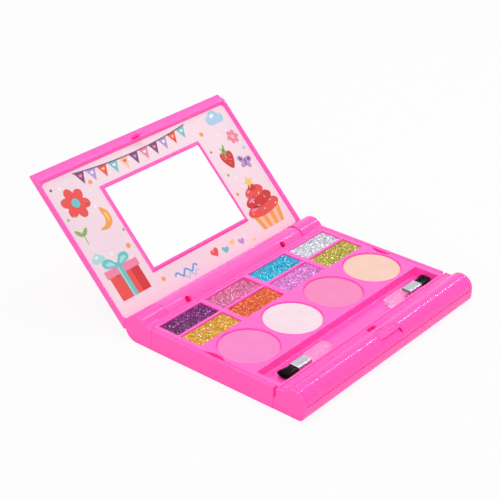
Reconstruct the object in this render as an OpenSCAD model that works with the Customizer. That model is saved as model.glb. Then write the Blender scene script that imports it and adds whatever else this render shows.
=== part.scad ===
// Clamshell make-up compact shaped like a small laptop, drawn with its lid open.
// Millimetres. +X is to the right, +Y to the back, +Z up.
// The origin is the middle of the underside of the base.
// The lid is drawn shut and then turned open about the hinge axis.

/* [Case] */
// Height of the flat deck above the underside
deck_h = 13.5; // [13:0.1:14.5]
// Wall of the base mouldings
wall = 2; // [1.6:0.1:2.2]
// Width of the rim on each side of the palette, which is the thickness of the side walls
rim_w = 2.8; // [2.2:0.1:3.2]
// Length of the end blocks, from the front or back face to the side seam
block_d = 21.2; // [20.8:0.1:21.8]
// Width of the fine seams between mouldings of the base
seam = 0.2; // [0.1:0.05:0.25]
// Width of the open slit at the top of each front side seam
slit_w = 1.4; // [1:0.1:1.8]
// Height of the slit's lower end
slit_z = 8.2; // [7:0.1:9]
// Radius of the lower front edge
toe_r = 4; // [3:0.1:5]

/* [Front roll] */
// Radius of the half-round roll along the front
roll_r = 8.2; // [7.8:0.1:8.6]
// Height of the roll's crest above the deck
roll_rise = 3.7; // [3.4:0.1:4]
// Height of the front parting line
part_z = 8.5; // [7.5:0.1:8.8]
// Open gap along the front parting line
part_gap = 0.55; // [0.3:0.05:0.6]
// Depth of the roll cover's flat deck behind the roll
deck_strip = 10.9; // [10.7:0.05:11.2]

/* [Latch] */
// Width of the thumb slide
slide_w = 19; // [16:0.5:24]
// Slope of the flat that the thumb slide runs on, in degrees
slide_tilt = 30; // [27:0.5:32]
// Depth of that flat below the crest of the roll
slide_flat = 1.8; // [1.6:0.05:1.95]
// Travel of the thumb slide
slide_travel = 2.2; // [1.5:0.1:2.4]
// Number of ribs on the thumb slide
rib_count = 5; // [4:1:9]
// Radius of one rib
rib_r = 0.35; // [0.2:0.05:0.4]
// Width of the catch hook on the lid
hook_w = 6.4; // [5:0.1:8]
// Thickness of the catch hook
hook_t = 1.35; // [1.1:0.05:1.5]
// Reach of the nose of the hook
nose = 0.6; // [0.4:0.05:0.7]
// Wire radius of the return spring
wire_r = 0.2; // [0.15:0.01:0.22]
// Radius of the return spring to the middle of its wire
coil_r = 1; // [0.8:0.05:1.1]

/* [Hinge] */
// Thickness of the wall between the palette and the lid's barrel, at the hinge's height
channel_t = 1.6; // [1.3:0.1:1.9]
// Radius of the hinge knuckles
knuckle_r = 8.8; // [8.5:0.1:9]
// Width of each knuckle
knuckle_w = 20; // [17:0.5:24]
// Radius of the lid's hinge barrel
barrel_r = 8.3; // [7.9:0.1:8.4]
// Angle that the lid opens to
open_angle = 134.8; // [100:0.2:136]
// Radius of the steel hinge pins
pin_r = 1.5; // [1:0.1:2]
// Depth that each pin is pressed into its knuckle
pin_reach = 7.5; // [6:0.5:9]
// Length of the barrel's solid ends, which the pins turn in
barrel_end = 12.8; // [10:0.1:13.4]
// Distance of the barrel's sight holes from its solid ends
sight_in = 6.3; // [3.8:0.1:8]
// Radius of the sight holes
sight_r = 2.3; // [1.5:0.1:2.5]

/* [Lid] */
// Thickness of the lid plate
lid_t = 1.9; // [1.5:0.1:2.3]
// Depth of the recess from the lid's rim to the face of the card
recess_d = 2; // [1.7:0.1:2.4]
// Width of the lid's side rim
lid_rim = 1; // [0.8:0.1:1.4]
// How far the recess's walls slope outwards from the card to the rim
rim_slope = 1.3; // [0.8:0.1:1.6]
// Thickness of the printed card
card_t = 0.4; // [0.3:0.05:0.5]
// Corner radius of the card
card_r = 2.8; // [1.5:0.1:4]
// Width of the mirror frame
frame_w = 89; // [80:0.1:96]
// Length of the mirror frame, up the lid
frame_l = 59.7; // [54:0.1:64]
// Distance from the hinge axis to the lower edge of the mirror frame
frame_u = 26.4; // [24:0.1:30]
// Thickness of the mirror frame's wall
frame_t = 1.4; // [1.1:0.1:1.8]
// Height of the mirror frame above the card
frame_rise = 1; // [0.8:0.1:1.2]
// How far the outside of the mirror frame slopes outwards, down to the card
frame_slope = 1; // [0.5:0.1:1.5]
// Thickness of the mirror
mirror_t = 0.8; // [0.6:0.1:1]
// Thickness of the adhesive pad behind the mirror
tape_t = 0.2; // [0.1:0.05:0.3]

/* [Palette] */
// Wall of the palette's wells
cup_wall = 1.2; // [0.9:0.1:1.3]
// Bar between neighbouring columns of glitter wells
column_bar = 3.7; // [3:0.1:5]
// Distance from the outer wells to the palette's side edges
side_margin = 3.15; // [3:0.05:5]
// Depth of a glitter well from front to back
well_d = 15.1; // [12:0.1:20]
// Corner radius of a glitter well
well_r = 0.6; // [0.3:0.1:1.2]
// Bar between the two rows of glitter wells
well_bar = 1.85; // [1.4:0.05:3]
// Distance from the back row of wells to the palette's back edge
well_edge = 1.65; // [1.5:0.05:3]
// Thickness of the glitter blocks
glitter_t = 3; // [2:0.1:3.4]
// Depth of the glitter's face below the palette
glitter_sunk = 0.7; // [0.5:0.1:1.6]
// Radius of a powder pan
pan_r = 18.4; // [15:0.1:22]
// Space between neighbouring pans
pan_bar = 3.5; // [3:0.1:5]
// Space between the pans and the front row of glitter wells
pan_back = 2; // [1.6:0.05:3]
// Space between the pans and the brush trough
pan_front = 2.15; // [1.6:0.05:3]
// Height of a powder pan
pan_h = 3.8; // [3:0.1:4.2]
// Sheet thickness of a powder pan
pan_t = 0.5; // [0.4:0.05:0.8]
// Depth of a pan's rim below the palette
pan_sunk = 0.4; // [0.3:0.1:1.2]
// Depth of the powder below the pan's rim
powder_sunk = 0.2; // [0.1:0.05:0.4]
// Distance of the brush trough's ends from the palette's side edges
trough_side = 3.3; // [3.1:0.1:10]
// Width of the brush trough from front to back
trough_d = 17.2; // [14:0.1:20]
// Distance of the brush trough from the palette's front edge
trough_edge = 1.35; // [1.3:0.05:3]
// Depth of the brush trough
trough_h = 5.7; // [5.2:0.1:6]
// Radius along the foot of the trough's walls
trough_r = 1.4; // [0.8:0.1:2]
// Length of each finger notch along the palette's side
notch_l = 16; // [12:0.5:20]
// Depth of each finger notch from the rim
notch_d = 3.1; // [2:0.1:3.1]

/* [Brushes] */
// Length of the clear handle outside the ferrule
handle_l = 20.5; // [16:0.5:22]
// Width of the handle
handle_w = 7.8; // [7:0.1:8.4]
// Thickness of the handle
handle_t = 3.9; // [3.6:0.1:4.2]
// Corner radius of the handle's ends
handle_r = 1.6; // [0.8:0.1:3]
// Length of the ferrule
ferrule_l = 12; // [10:0.5:13]
// Width of the ferrule
ferrule_w = 7.4; // [6.6:0.1:7.8]
// Thickness of the ferrule
ferrule_t = 3.4; // [3.1:0.1:3.6]
// Sheet thickness of the ferrule
ferrule_sheet = 0.3; // [0.2:0.05:0.4]
// Length of the bristles outside the ferrule
bristle_l = 11; // [9:0.5:12]
// Width of the bristles at their tips
bristle_w = 8.8; // [8:0.1:9.4]
// Thickness of the bristles at their tips
bristle_t = 3.6; // [3.2:0.1:3.9]
// Distance of the left brush's bristle tips from the trough's left end
left_brush_end = 9.6; // [5:0.1:14]
// Distance of the right brush's bristle tips from the trough's right end
right_brush_end = 1.6; // [1:0.1:6]
// Distance of the brushes' centre line from the trough's front wall
brush_front = 7.3; // [6:0.1:9]

/* [Clearances] */
// Gap between pieces of different bodies
gap = 0.3; // [0.3:0.01:0.4]
// Gap between each knuckle and the end of the barrel
knuckle_gap = 0.6; // [0.3:0.05:0.8]
// Gap between the barrel and the concave wall in front of it
barrel_gap = 0.4; // [0.35:0.05:0.45]
// Radial clearance of the pins in the barrel
pin_clear = 0.05; // [0.02:0.01:0.09]
// Gap around pieces that are set in a well or a frame
set_gap = 0.1; // [0.05:0.01:0.15]
// Gap between the lid's closing lip and the roll
lip_gap = 0.6; // [0.5:0.05:0.7]

/* [Hidden] */
$fn = 96;
EPS = 0.01; // overlap of shapes that are joined
OVER = 1; // reach of a cut past the face that it opens
FAR = 300; // longer than the whole part, for cuts that run right through

// The palette's own size, which the case is built around
pitch = 2 * pan_r + pan_bar;
well_w = pitch - column_bar;
pal_x = 2 * pitch - column_bar / 2 + side_margin;
pal_d = trough_edge + trough_d + pan_front + 2 * pan_r + pan_back + 2 * well_d + well_bar + well_edge;
pal_y0 = -pal_d / 2;
pal_y1 = pal_d / 2;

// Places in the base
inner_x = pal_x + gap;
side_x = inner_x + rim_w;
strip_y = pal_y0 - gap;
back_deck_y = pal_y1 + gap;
roll_y = strip_y - deck_strip;
roll_z = deck_h + roll_rise - roll_r;
front_y = roll_y - roll_r;
channel_r = barrel_r + barrel_gap;
hinge_y = back_deck_y + channel_t + channel_r;
hinge_z = knuckle_r;
back_y = hinge_y + knuckle_r;
seam_front_y = front_y + block_d;
seam_back_y = back_y - block_d;
deck_under = deck_h - wall;
knuckle_x = side_x - knuckle_w;
barrel_x = knuckle_x - knuckle_gap / 2;
block_x = knuckle_x + knuckle_gap / 2;
foot_t = 1.5; // thickness of the floor's edge under the barrel
floor_end_y = hinge_y - sqrt(pow(channel_r, 2) - pow(hinge_z - foot_t, 2));
pin_floor = 0.5; // material between a pin's blind hole and the knuckle's hollow

// Ledge under the palette's sides, and the lip behind the front parting line
ledge_w = 1.6;
ledge_z = deck_under - gap;
ledge_open = 1; // distance of the ledge's ends from the finger notch
inner_lip_t = 0.8;
inner_lip_rise = 1.5;
inner_lip_drop = 3; // depth of the lip's root below the parting line
inner_lip_root = 2; // thickness of the root
inner_lip_y = front_y + wall + seam;

// Places in the palette
pal_z0 = deck_under;
well_back_y = pal_y1 - well_edge - well_d / 2;
well_front_y = well_back_y - well_bar - well_d;
well_z = deck_h - glitter_sunk - glitter_t;
pan_y = well_front_y - well_d / 2 - pan_back - pan_r;
pan_z = deck_h - pan_sunk - pan_h;
trough_w = 2 * (pal_x - trough_side);
trough_y0 = pal_y0 + trough_edge;
trough_y1 = trough_y0 + trough_d;
trough_z = deck_h - trough_h;
notch_r = (notch_l * notch_l / 4 + notch_d * notch_d) / (2 * notch_d);
columns = [-1.5, -0.5, 0.5, 1.5];

// Cross walls under the palette
cross_t = 2;
cross_room = 1.4; // space between a cross wall and the trough above it
cross_z = trough_z - cup_wall - cross_room;

// Places in the latch, in a frame that lies on the roll's axis and leans with the flat:
// "along" is the way the slide travels and "out" is square to the flat
flat_out = roll_r - slide_flat;
slide_under = flat_out + gap;
slide_nose = 1.15; // reach of the thumb slide past the roll's axis
flat_t = 1.6;
stem_l = 2.2;
stem_w = 6;
stem_back = -4.3;
stem_foot = -1; // "out" of the stem's inner end
stem_root = 0.5; // depth that the stem runs into the thumb slide
tongue_t = 1.2;
tongue_back = 1.5; // distance of the tongue's front end behind the roll's axis
tongue_gap = 0.1; // space between the tongue and the hook
tongue_z1 = deck_under - gap;
tongue_z0 = tongue_z1 - tongue_t;
spring_turns = 5;
spring_out = 3;
spring_l = 4.6; // length of the spring as fitted
spring_gap = 0.1; // space between the spring and the stem
bracket_t = 1;
bracket_along = stem_back + stem_l + spring_l + spring_gap;
bracket_edge = 0.5; // reach of the bracket past the spring

// Places in the catch hook, drawn with the lid shut
hook_back = 7.95; // distance of the hook's front face behind the roll's axis
hook_y0 = roll_y + hook_back;
hook_y1 = hook_y0 + hook_t;
nose_top = tongue_z0 - gap / 2;
nose_slope = 0.4; // fall of the nose's upper face
nose_t = 0.65; // height of the nose with its slope
hook_tip = 1.65; // height of the hook's tip below the tongue
hook_chamfer = 0.35;
hook_z = nose_top - hook_tip;
slot_side = 0.6; // space on each side of the hook in its slot
slot_room = 0.4; // space behind the hook
slot_y0 = hook_y0 - nose - gap;
slot_y1 = hook_y1 + slot_room;
slot_w = hook_w + 2 * slot_side;

// Places in the lid, drawn shut
lid_z0 = deck_h + gap;
card_z0 = lid_z0 + recess_d;
plate_z0 = card_z0 + card_t;
lid_z1 = plate_z0 + lid_t;
lip_back = 4.5; // distance of the lid's free edge behind the roll's axis
lip_l = 7.6; // distance of the card from the free edge
heel_l = 9; // distance of the card from the hinge axis
plate_end = 4.5; // distance of the plate's end from the hinge axis
lip_y = roll_y + lip_back;
card_x = side_x - lid_rim - rim_slope;
card_y0 = lip_y + lip_l;
card_y1 = hinge_y - heel_l;
plate_y1 = hinge_y - plate_end;
lip_z = roll_z + sqrt(pow(roll_r, 2) - pow(lip_back, 2)) + lip_gap;
hollow_r = 12; // radius of the hollow under the lip
hollow_in = 2.3; // distance of the hollow's axis in front of the free edge
hollow_y = lip_y - hollow_in;
hollow_z = lip_z - sqrt(pow(hollow_r, 2) - pow(hollow_in, 2));
frame_y1 = hinge_y - frame_u;
frame_y0 = frame_y1 - frame_l;
frame_z = card_z0 - frame_rise;
tape_in = 2; // distance of the pad's edge from the mirror frame
relief_gap = 0.4; // space between the lid's plate and the knuckles
relief_r = knuckle_r + relief_gap;
web_x = barrel_x - barrel_end;
sight_x = web_x - sight_in;
pin_stub = 1.2; // reach of a pin past the barrel's solid end
bore_r = barrel_r - wall;

// Places of the brushes
brush_y = trough_y0 + brush_front;
brush_z = trough_z + gap + handle_t / 2;
tenon_l = 5; // length of the handle inside the ferrule
root_l = 6; // length of the bristles inside the ferrule
brush_l = bristle_l + ferrule_l + handle_l;
core_w = ferrule_w - 2 * ferrule_sheet;
core_t = ferrule_t - 2 * ferrule_sheet;
flare_l = 2.5; // length of the bristles' angled tips
tip_in = 1.5; // how much narrower each side of the tips ends
tip_bevel = 0.6; // how much thinner each face of the tips ends

pink = "#ff70c0";

// A box between two opposite corners.
module box(x0, x1, y0, y1, z0, z1) {
  translate([x0, y0, z0]) cube([x1 - x0, y1 - y0, z1 - z0]);
}

// A Y-Z outline drawn out along X from x0 to x1.
module along_x(x0, x1) {
  translate([x0, 0, 0]) rotate([90, 0, 90]) linear_extrude(x1 - x0) children();
}

// An X-Z outline drawn out along Y from y0 to y1.
module along_y(y0, y1) {
  translate([0, y1, 0]) rotate([90, 0, 0]) linear_extrude(y1 - y0) children();
}

// A block that widens from height z0, where it reaches x to each side and from y0 to y1, to
// height z1. Its sides and its front slope outwards by out, and its back by out_back.
module flared(x, y0, y1, z0, z1, out, out_back) {
  intersection() {
    along_x(-x - out, x + out)
      polygon([[y0, z0], [y0 - out, z1], [y1 + out_back, z1], [y1, z0]]);
    along_y(y0 - out, y1 + out_back)
      polygon([[-x, z0], [-x - out, z1], [x + out, z1], [x, z0]]);
  }
}

// A round bar along X.
module bar(x0, x1, y, z, r) {
  translate([x0, y, z]) rotate([0, 90, 0]) cylinder(r = r, h = x1 - x0);
}

// The same thing at both ends.
module both_ends() {
  children();
  mirror([1, 0, 0]) children();
}

// Rectangle with round corners, centred, as a union of plain shapes.
module round_rect(w, l, r) {
  square([w - 2 * r, l], center = true);
  square([w, l - 2 * r], center = true);
  for (sx = [-1, 1], sy = [-1, 1])
    translate([sx * (w / 2 - r), sy * (l / 2 - r)]) circle(r);
}

// ---- Base ----

// Side outline of the front block, set in by t from its outside.
module front_outline(t) {
  translate([roll_y, roll_z]) circle(roll_r - t);
  translate([front_y + t, toe_r]) square([roll_r, roll_z - toe_r]);
  translate([front_y + toe_r, t]) square([seam_front_y - front_y - toe_r, toe_r]);
  translate([front_y + toe_r, toe_r]) circle(toe_r - t);
  translate([roll_y, t]) square([seam_front_y - roll_y, deck_h - 2 * t]);
}

// Side outline of a hinge knuckle with the block in front of it, set in by t.
module knuckle_outline(t) {
  translate([hinge_y, hinge_z]) circle(knuckle_r - t);
  translate([seam_back_y, t]) square([hinge_y - seam_back_y, deck_h - 2 * t]);
}

// Concave wall in front of the lid's barrel, with the strip of deck on its top.
module channel_outline() {
  difference() {
    union() {
      intersection() {
        translate([hinge_y, hinge_z]) circle(channel_r + wall);
        translate([back_deck_y, 0]) square([floor_end_y - back_deck_y, deck_h]);
      }
      translate([back_deck_y, deck_under]) square([hinge_y - back_deck_y, wall]);
      translate([seam_back_y, 0]) square([floor_end_y - seam_back_y, wall]);
    }
    translate([hinge_y, hinge_z]) circle(channel_r);
    translate([floor_end_y, -OVER]) square([channel_r, hinge_z + OVER]);
  }
}

module bottom_shell() {
  color(pink) difference() {
    union() {
      // floor between the side walls
      box(-inner_x + seam, inner_x - seam, seam_front_y - EPS, seam_back_y + EPS, 0, wall);
      // front wall and floor of the front block, up to the parting line
      difference() {
        along_x(-inner_x, inner_x) difference() {
          front_outline(0);
          front_outline(wall);
        }
        box(-FAR, FAR, front_y - OVER, seam_front_y + OVER, part_z, FAR);
        box(-FAR, FAR, roll_y, seam_front_y + OVER, wall, FAR);
      }
      // inner lip that closes the front parting gap
      box(-inner_x, inner_x, front_y + wall - EPS, inner_lip_y + inner_lip_t,
          part_z - inner_lip_drop, part_z - inner_lip_drop + inner_lip_root);
      box(-inner_x, inner_x, inner_lip_y, inner_lip_y + inner_lip_t,
          part_z - inner_lip_drop, part_z + inner_lip_rise);
      // end walls of the front block
      both_ends() along_x(inner_x, side_x) front_outline(0);
      // hinge knuckles and the concave wall between them
      both_ends() along_x(block_x, side_x) knuckle_outline(0);
      along_x(-block_x - EPS, block_x + EPS) channel_outline();
    }
    both_ends() {
      // hollow of each knuckle, open to the front
      along_x(block_x + pin_reach + pin_floor, inner_x) intersection() {
        knuckle_outline(wall);
        translate([back_deck_y, 0]) square(FAR);
      }
      box(block_x - OVER, inner_x, seam_back_y - OVER, back_deck_y, wall, deck_h + OVER);
      // slit at the top of the front side seam
      box(inner_x - OVER, side_x + OVER, seam_front_y - slit_w, seam_front_y + OVER,
          slit_z, deck_h + OVER);
      // blind hole for the hinge pin
      bar(block_x - OVER, block_x + pin_reach, hinge_y, hinge_z, pin_r);
    }
  }
}

module tray_frame() {
  color(pink) {
    both_ends() {
      box(inner_x, side_x, seam_front_y + seam, seam_back_y - seam, 0, deck_h);
      // ledge under the palette, open at the finger notch
      for (s = [-1, 1])
        box(inner_x - ledge_w, inner_x + EPS,
            s > 0 ? notch_l / 2 + ledge_open : seam_front_y + seam,
            s > 0 ? seam_back_y - seam : -notch_l / 2 - ledge_open, wall, ledge_z);
    }
    // cross walls that tie the two sides together
    for (y = [seam_front_y + seam, seam_back_y - seam - cross_t])
      box(-inner_x - EPS, inner_x + EPS, y, y + cross_t, wall, cross_z);
  }
}

// ---- Front cover and latch ----

// Puts its children in the leaning frame of the thumb slide: X stays, Y becomes the way back
// up the flat and Z points out of it, with the origin on the roll's axis.
module on_flat() {
  translate([0, roll_y, roll_z]) rotate([slide_tilt, 0, 0]) children();
}

module front_cover() {
  cover_x = inner_x - seam;
  color(pink) difference() {
    union() {
      difference() {
        along_x(-cover_x, cover_x) difference() {
          translate([roll_y, roll_z]) circle(roll_r);
          translate([roll_y, roll_z]) circle(roll_r - wall);
        }
        box(-FAR, FAR, front_y - OVER, roll_y, -OVER, part_z + part_gap);
        box(-FAR, FAR, roll_y - EPS, roll_y + roll_r + OVER, -OVER, deck_under);
      }
      // flat deck behind the roll
      box(-cover_x, cover_x, roll_y + roll_r - wall, strip_y, deck_under, deck_h);
      // floor of the flat, and the bracket that the spring leans on
      intersection() {
        union() {
          on_flat() box(-slide_w / 2 - wall, slide_w / 2 + wall, -roll_r, roll_r,
                        flat_out - flat_t, flat_out);
          on_flat() box(-stem_w / 2, stem_w / 2, -bracket_along - bracket_t, -bracket_along,
                        spring_out - coil_r - bracket_edge, flat_out);
        }
        bar(-FAR, FAR, roll_y, roll_z, roll_r - wall + EPS);
      }
    }
    // pocket above the flat
    on_flat() box(-slide_w / 2 - gap, slide_w / 2 + gap, -roll_r, roll_r, flat_out, FAR);
    // window for the stem of the slide
    on_flat() box(-stem_w / 2 - gap, stem_w / 2 + gap, -stem_back - stem_l - slide_travel - gap,
                  -stem_back + gap, flat_out - flat_t - OVER, flat_out + OVER);
    // slot for the lid's hook
    box(-slot_w / 2, slot_w / 2, slot_y0, slot_y1, deck_under - OVER, deck_h + OVER);
  }
}

module latch_button() {
  front_angle = asin(slide_nose / roll_r);
  rib_step = (front_angle + acos(slide_under / roll_r)) / (rib_count + 0.5);
  color(pink) {
    intersection() {
      bar(-slide_w / 2, slide_w / 2, roll_y, roll_z, roll_r - rib_r / 2);
      on_flat() box(-slide_w, slide_w, -slide_nose, roll_r, slide_under, roll_r);
    }
    // ribs across the thumb face
    for (i = [0 : rib_count - 1])
      on_flat() rotate([front_angle - rib_step * (i + 0.5), 0, 0])
        bar(-slide_w / 2, slide_w / 2, 0, roll_r - rib_r / 2, rib_r);
    // stem through the flat, and the tongue that holds the lid's hook
    on_flat() box(-stem_w / 2, stem_w / 2, -stem_back - stem_l, -stem_back,
                  stem_foot, slide_under + stem_root);
    box(-stem_w / 2, stem_w / 2, roll_y + tongue_back, hook_y0 - tongue_gap,
        tongue_z0, tongue_z1);
  }
}

// Closed-coil spring along the slide's travel, as one swept wire.
function coil_point(k, steps) =
  let (a = 360 * spring_turns * k / steps)
  [coil_r * cos(a), coil_r * sin(a), wire_r + (spring_l - 2 * wire_r) * k / steps];

module latch_spring() {
  sides = 6;
  steps = spring_turns * 12;
  points = [
    for (k = [0 : steps], j = [0 : sides - 1])
      let (p = coil_point(k, steps),
           a = 360 * spring_turns * k / steps,
           b = 360 * j / sides)
      p + wire_r * [cos(a) * cos(b), sin(a) * cos(b), sin(b)]
  ];
  walls = [
    for (k = [0 : steps - 1], j = [0 : sides - 1])
      let (n = (j + 1) % sides)
      [k * sides + j, (k + 1) * sides + j, (k + 1) * sides + n, k * sides + n]
  ];
  first = [for (j = [0 : sides - 1]) j];
  last = [for (j = [sides - 1 : -1 : 0]) steps * sides + j];
  color("silver") on_flat() translate([0, -bracket_along, spring_out]) rotate([-90, 0, 0])
    polyhedron(points, concat(walls, [first, last]), convexity = 8);
}

// ---- Hinge ----

module hinge_pin() {
  color("silver") bar(web_x - pin_stub, block_x + pin_reach, hinge_y, hinge_z, pin_r);
}

module hinge_pin_left() {
  mirror([1, 0, 0]) hinge_pin();
}

module hinge_pin_right() {
  hinge_pin();
}

// ---- Palette ----

module palette_tray() {
  color(pink) difference() {
    union() {
      box(-pal_x, pal_x, pal_y0, pal_y1, pal_z0, deck_h);
      // cups under the wells
      for (c = columns) {
        for (y = [well_front_y, well_back_y])
          translate([c * pitch, y, well_z - cup_wall])
            linear_extrude(deck_h - well_z) square([well_w + 2 * cup_wall, well_d + 2 * cup_wall],
                                                   center = true);
        translate([c * pitch, pan_y, pan_z - cup_wall])
          cylinder(r = pan_r + set_gap + cup_wall, h = deck_h - pan_z);
      }
      box(-trough_w / 2 - cup_wall, trough_w / 2 + cup_wall, trough_y0 - cup_wall,
          trough_y1 + cup_wall, trough_z - cup_wall, pal_z0 + EPS);
    }
    for (c = columns) {
      for (y = [well_front_y, well_back_y])
        translate([c * pitch, y, well_z]) linear_extrude(deck_h) round_rect(well_w, well_d, well_r);
      translate([c * pitch, pan_y, pan_z]) cylinder(r = pan_r + set_gap, h = deck_h);
    }
    trough_space();
    for (s = [-1, 1])
      translate([s * (inner_x - notch_d + notch_r), 0, well_z - 2 * cup_wall])
        cylinder(r = notch_r, h = deck_h);
  }
}

// The room inside the trough, with a round foot along its long walls.
module trough_space() {
  half = trough_w / 2;
  box(-half, half, trough_y0, trough_y1, trough_z + trough_r, deck_h + OVER);
  box(-half, half, trough_y0 + trough_r, trough_y1 - trough_r, trough_z, deck_h + OVER);
  for (y = [trough_y0 + trough_r, trough_y1 - trough_r])
    bar(-half, half, y, trough_z + trough_r, trough_r);
}

module pan(i) {
  color(pink) translate([columns[i] * pitch, pan_y, pan_z]) difference() {
    cylinder(r = pan_r, h = pan_h);
    translate([0, 0, pan_t]) cylinder(r = pan_r - pan_t, h = pan_h);
  }
}

module powder(i, shade) {
  color(shade) translate([columns[i] * pitch, pan_y, pan_z + pan_t])
    cylinder(r = pan_r - pan_t, h = pan_h - pan_t - powder_sunk);
}

// Glitter block in column i of the front row (row 0) or the back row (row 1).
module glitter(i, row, shade) {
  color(shade)
    translate([columns[i] * pitch, row == 0 ? well_front_y : well_back_y, well_z])
      linear_extrude(glitter_t)
        round_rect(well_w - 2 * set_gap, well_d - 2 * set_gap, well_r - set_gap);
}

module pan_1() { pan(0); }
module pan_2() { pan(1); }
module pan_3() { pan(2); }
module pan_4() { pan(3); }
module powder_1() { powder(0, "#ff8ad0"); }
module powder_2() { powder(1, "#ffe4ec"); }
module powder_3() { powder(2, "#ff8ec3"); }
module powder_4() { powder(3, "#ffd4c3"); }
module glitter_1() { glitter(0, 1, "#692864"); }
module glitter_2() { glitter(1, 1, "#d76e9b"); }
module glitter_3() { glitter(2, 1, "#28a5d2"); }
module glitter_4() { glitter(3, 1, "#cdd0da"); }
module glitter_5() { glitter(0, 0, "#d7a037"); }
module glitter_6() { glitter(1, 0, "#e16437"); }
module glitter_7() { glitter(2, 0, "#d77dcd"); }
module glitter_8() { glitter(3, 0, "#b9af4b"); }

// ---- Brushes ----

// A brush lies along X, with its bristle tips at x = 0 and its handle towards +X.
module place_brush(side) {
  if (side < 0)
    translate([-trough_w / 2 + left_brush_end, brush_y, brush_z]) children();
  else
    translate([trough_w / 2 - right_brush_end, brush_y, brush_z]) mirror([1, 0, 0]) children();
}

// A block along X, centred on the brush's centre line.
module brush_block(x0, x1, w, t) {
  box(x0, x1, -w / 2, w / 2, -t / 2, t / 2);
}

module brush_handle(side) {
  ferrule_end = brush_l - handle_l;
  color("#ffd0ec") place_brush(side) {
    translate([brush_l - handle_l / 2, 0, -handle_t / 2])
      linear_extrude(handle_t) round_rect(handle_l, handle_w, handle_r);
    brush_block(ferrule_end - tenon_l, ferrule_end + EPS, core_w, core_t);
  }
}

module brush_ferrule(side) {
  color("silver") place_brush(side) difference() {
    brush_block(bristle_l, bristle_l + ferrule_l, ferrule_w, ferrule_t);
    brush_block(bristle_l - OVER, bristle_l + ferrule_l + OVER, core_w, core_t);
  }
}

module brush_bristles(side) {
  color("#181418") place_brush(side) {
    brush_block(bristle_l - EPS, bristle_l + root_l, core_w, core_t);
    hull() {
      brush_block(bristle_l - EPS, bristle_l, core_w, core_t);
      brush_block(flare_l, flare_l + EPS, bristle_w, bristle_t);
      brush_block(0, EPS, bristle_w - 2 * tip_in, bristle_t - 2 * tip_bevel);
    }
  }
}

module brush_left_handle() { brush_handle(-1); }
module brush_left_ferrule() { brush_ferrule(-1); }
module brush_left_bristles() { brush_bristles(-1); }
module brush_right_handle() { brush_handle(1); }
module brush_right_ferrule() { brush_ferrule(1); }
module brush_right_bristles() { brush_bristles(1); }

// ---- Lid ----

// Turns a lid piece, drawn shut, to the open position.
module opened() {
  translate([0, hinge_y, hinge_z]) rotate([-open_angle, 0, 0])
    translate([0, -hinge_y, -hinge_z]) children();
}

// Side outline of the lid: plate, rims and closing lip, without the recess.
module lid_outline() {
  difference() {
    translate([lip_y, lid_z0]) square([plate_y1 - lip_y, lid_z1 - lid_z0]);
    translate([hollow_y, hollow_z]) circle(hollow_r);
  }
}

module card_shape(inset) {
  translate([0, (card_y0 + card_y1) / 2])
    round_rect(2 * (card_x - inset), card_y1 - card_y0 - 2 * inset, card_r);
}

module frame_shape(inset) {
  translate([0, (frame_y0 + frame_y1) / 2])
    square([frame_w - 2 * inset, frame_l - 2 * inset], center = true);
}

// Outline of the hook, seen from the side.
module hook_outline() {
  polygon([
    [hook_y1, card_z0],
    [hook_y1, hook_z],
    [hook_y0 + hook_chamfer, hook_z],
    [hook_y0 - nose, nose_top - nose_t],
    [hook_y0 - nose, nose_top - nose_slope],
    [hook_y0, nose_top],
    [hook_y0, card_z0]
  ]);
}

module lid_shell() {
  color(pink) opened() difference() {
    union() {
      difference() {
        along_x(-side_x, side_x) lid_outline();
        // recess for the card and the mirror frame, with sloping walls
        translate([0, 0, card_z0 - EPS]) linear_extrude(plate_z0 - card_z0 + EPS) card_shape(0);
        flared(card_x, card_y0, card_y1, card_z0, lid_z0 - OVER,
               rim_slope * (recess_d + OVER) / recess_d, 0);
      }
      // mirror frame
      difference() {
        union() {
          flared(frame_w / 2, frame_y0, frame_y1, frame_z, card_z0, frame_slope, frame_slope);
          translate([0, 0, card_z0 - EPS]) linear_extrude(plate_z0 - card_z0 + 2 * EPS)
            frame_shape(-frame_slope);
        }
        translate([0, 0, frame_z - OVER]) linear_extrude(plate_z0 - frame_z + OVER)
          frame_shape(frame_t);
      }
      bar(-barrel_x, barrel_x, hinge_y, hinge_z, barrel_r);
      along_x(-hook_w / 2, hook_w / 2) hook_outline();
    }
    // hollow of the barrel, its pin holes and its sight holes
    bar(-web_x, web_x, hinge_y, hinge_z, bore_r);
    bar(-FAR, FAR, hinge_y, hinge_z, pin_r + pin_clear);
    for (s = [-1, 1])
      translate([s * sight_x, hinge_y, 0]) cylinder(r = sight_r, h = hinge_z);
    // room for the knuckles
    both_ends() bar(barrel_x, side_x + OVER, hinge_y, hinge_z, relief_r);
  }
}

module lid_card() {
  color("#f8e4ee") opened() translate([0, 0, card_z0]) linear_extrude(card_t) difference() {
    card_shape(set_gap);
    frame_shape(-frame_slope - set_gap);
  }
}

module mirror_tape() {
  color("white") opened() translate([0, 0, plate_z0 - tape_t]) linear_extrude(tape_t)
    frame_shape(frame_t + tape_in);
}

module mirror_plate() {
  color("#eef2f6") opened() translate([0, 0, plate_z0 - tape_t - mirror_t])
    linear_extrude(mirror_t) frame_shape(frame_t + set_gap);
}

bottom_shell();
tray_frame();
front_cover();
hinge_pin_left();
hinge_pin_right();
latch_button();
latch_spring();
palette_tray();
pan_1();
pan_2();
pan_3();
pan_4();
powder_1();
powder_2();
powder_3();
powder_4();
glitter_1();
glitter_2();
glitter_3();
glitter_4();
glitter_5();
glitter_6();
glitter_7();
glitter_8();
brush_left_handle();
brush_left_ferrule();
brush_left_bristles();
brush_right_handle();
brush_right_ferrule();
brush_right_bristles();
lid_shell();
lid_card();
mirror_plate();
mirror_tape();
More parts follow.
